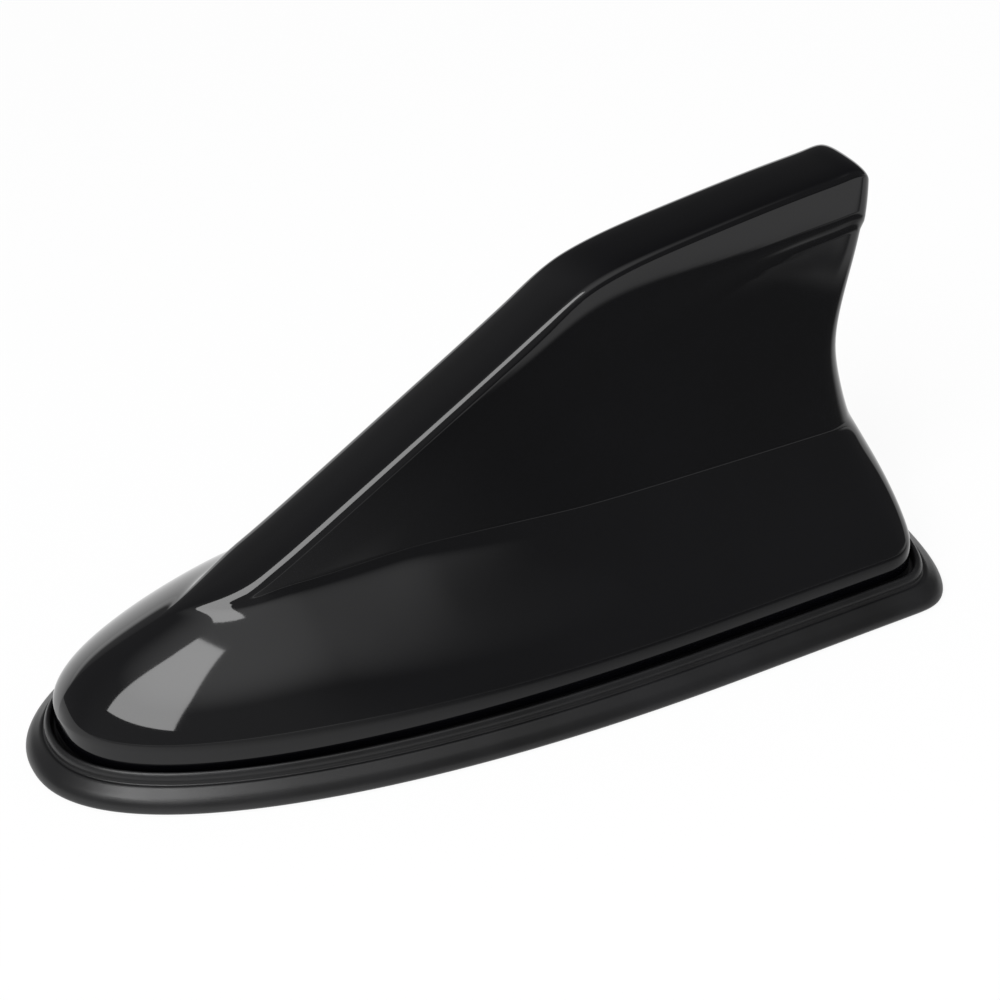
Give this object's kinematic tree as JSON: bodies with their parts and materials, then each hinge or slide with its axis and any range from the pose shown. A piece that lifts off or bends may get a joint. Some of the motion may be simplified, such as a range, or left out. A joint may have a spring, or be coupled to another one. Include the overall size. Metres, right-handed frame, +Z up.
{
  "type": "shark fin aerial",
  "caption": "Gloss black shark fin roof aerial on a rubber skirt, with adhesive pad, mast bush, amplifier board and coil inside.",
  "frame": {"origin": "centre of the footprint on the roof, under the adhesive pad and the rubber skirt", "axes": "+Z up off the roof, -X towards the nose and the front of the car, +X towards the tail, Y across, the aerial symmetric about the XZ plane"},
  "size_m": [0.167, 0.074, 0.0753],
  "materials": {
    "cover_gloss": "high gloss black",
    "skirt_rubber": "smooth satin",
    "plate_plastic": "fine matt",
    "foam_pad": "matt foam",
    "screw_steel": "zinc plated",
    "brass": "turned",
    "seal_rubber": "smooth",
    "wire_insulation": "satin",
    "board_green": "satin lacquer",
    "terminal_plastic": "satin",
    "tinned_sheet": "tinned",
    "chip_plastic": "matt",
    "can_aluminium": "satin",
    "ferrite": "matt",
    "copper": "enamelled",
    "former_plastic": "natural"
  },
  "bodies": {
    "root": {"fin_cover": "cover_gloss", "base_gasket": "skirt_rubber", "base_plate": "plate_plastic", "adhesive_pad": "foam_pad", "cover_screws": "screw_steel", "mast_bush": "brass", "bush_seal": "seal_rubber", "bush_washer": "screw_steel", "ring_terminal": "brass", "bush_nut": "brass", "feeder_wire": "wire_insulation", "circuit_board": "board_green", "board_screws": "screw_steel", "board_terminal": "terminal_plastic", "shield_can": "tinned_sheet", "amplifier_chip": "chip_plastic", "tuning_capacitors": "can_aluminium", "choke_core": "ferrite", "choke_winding": "copper", "coil_former": "former_plastic", "antenna_coil": "copper", "coil_foot": "brass", "coil_cap": "brass", "top_plate": "tinned_sheet", "top_plate_screw": "screw_steel"}
  },
  "joints": []
}
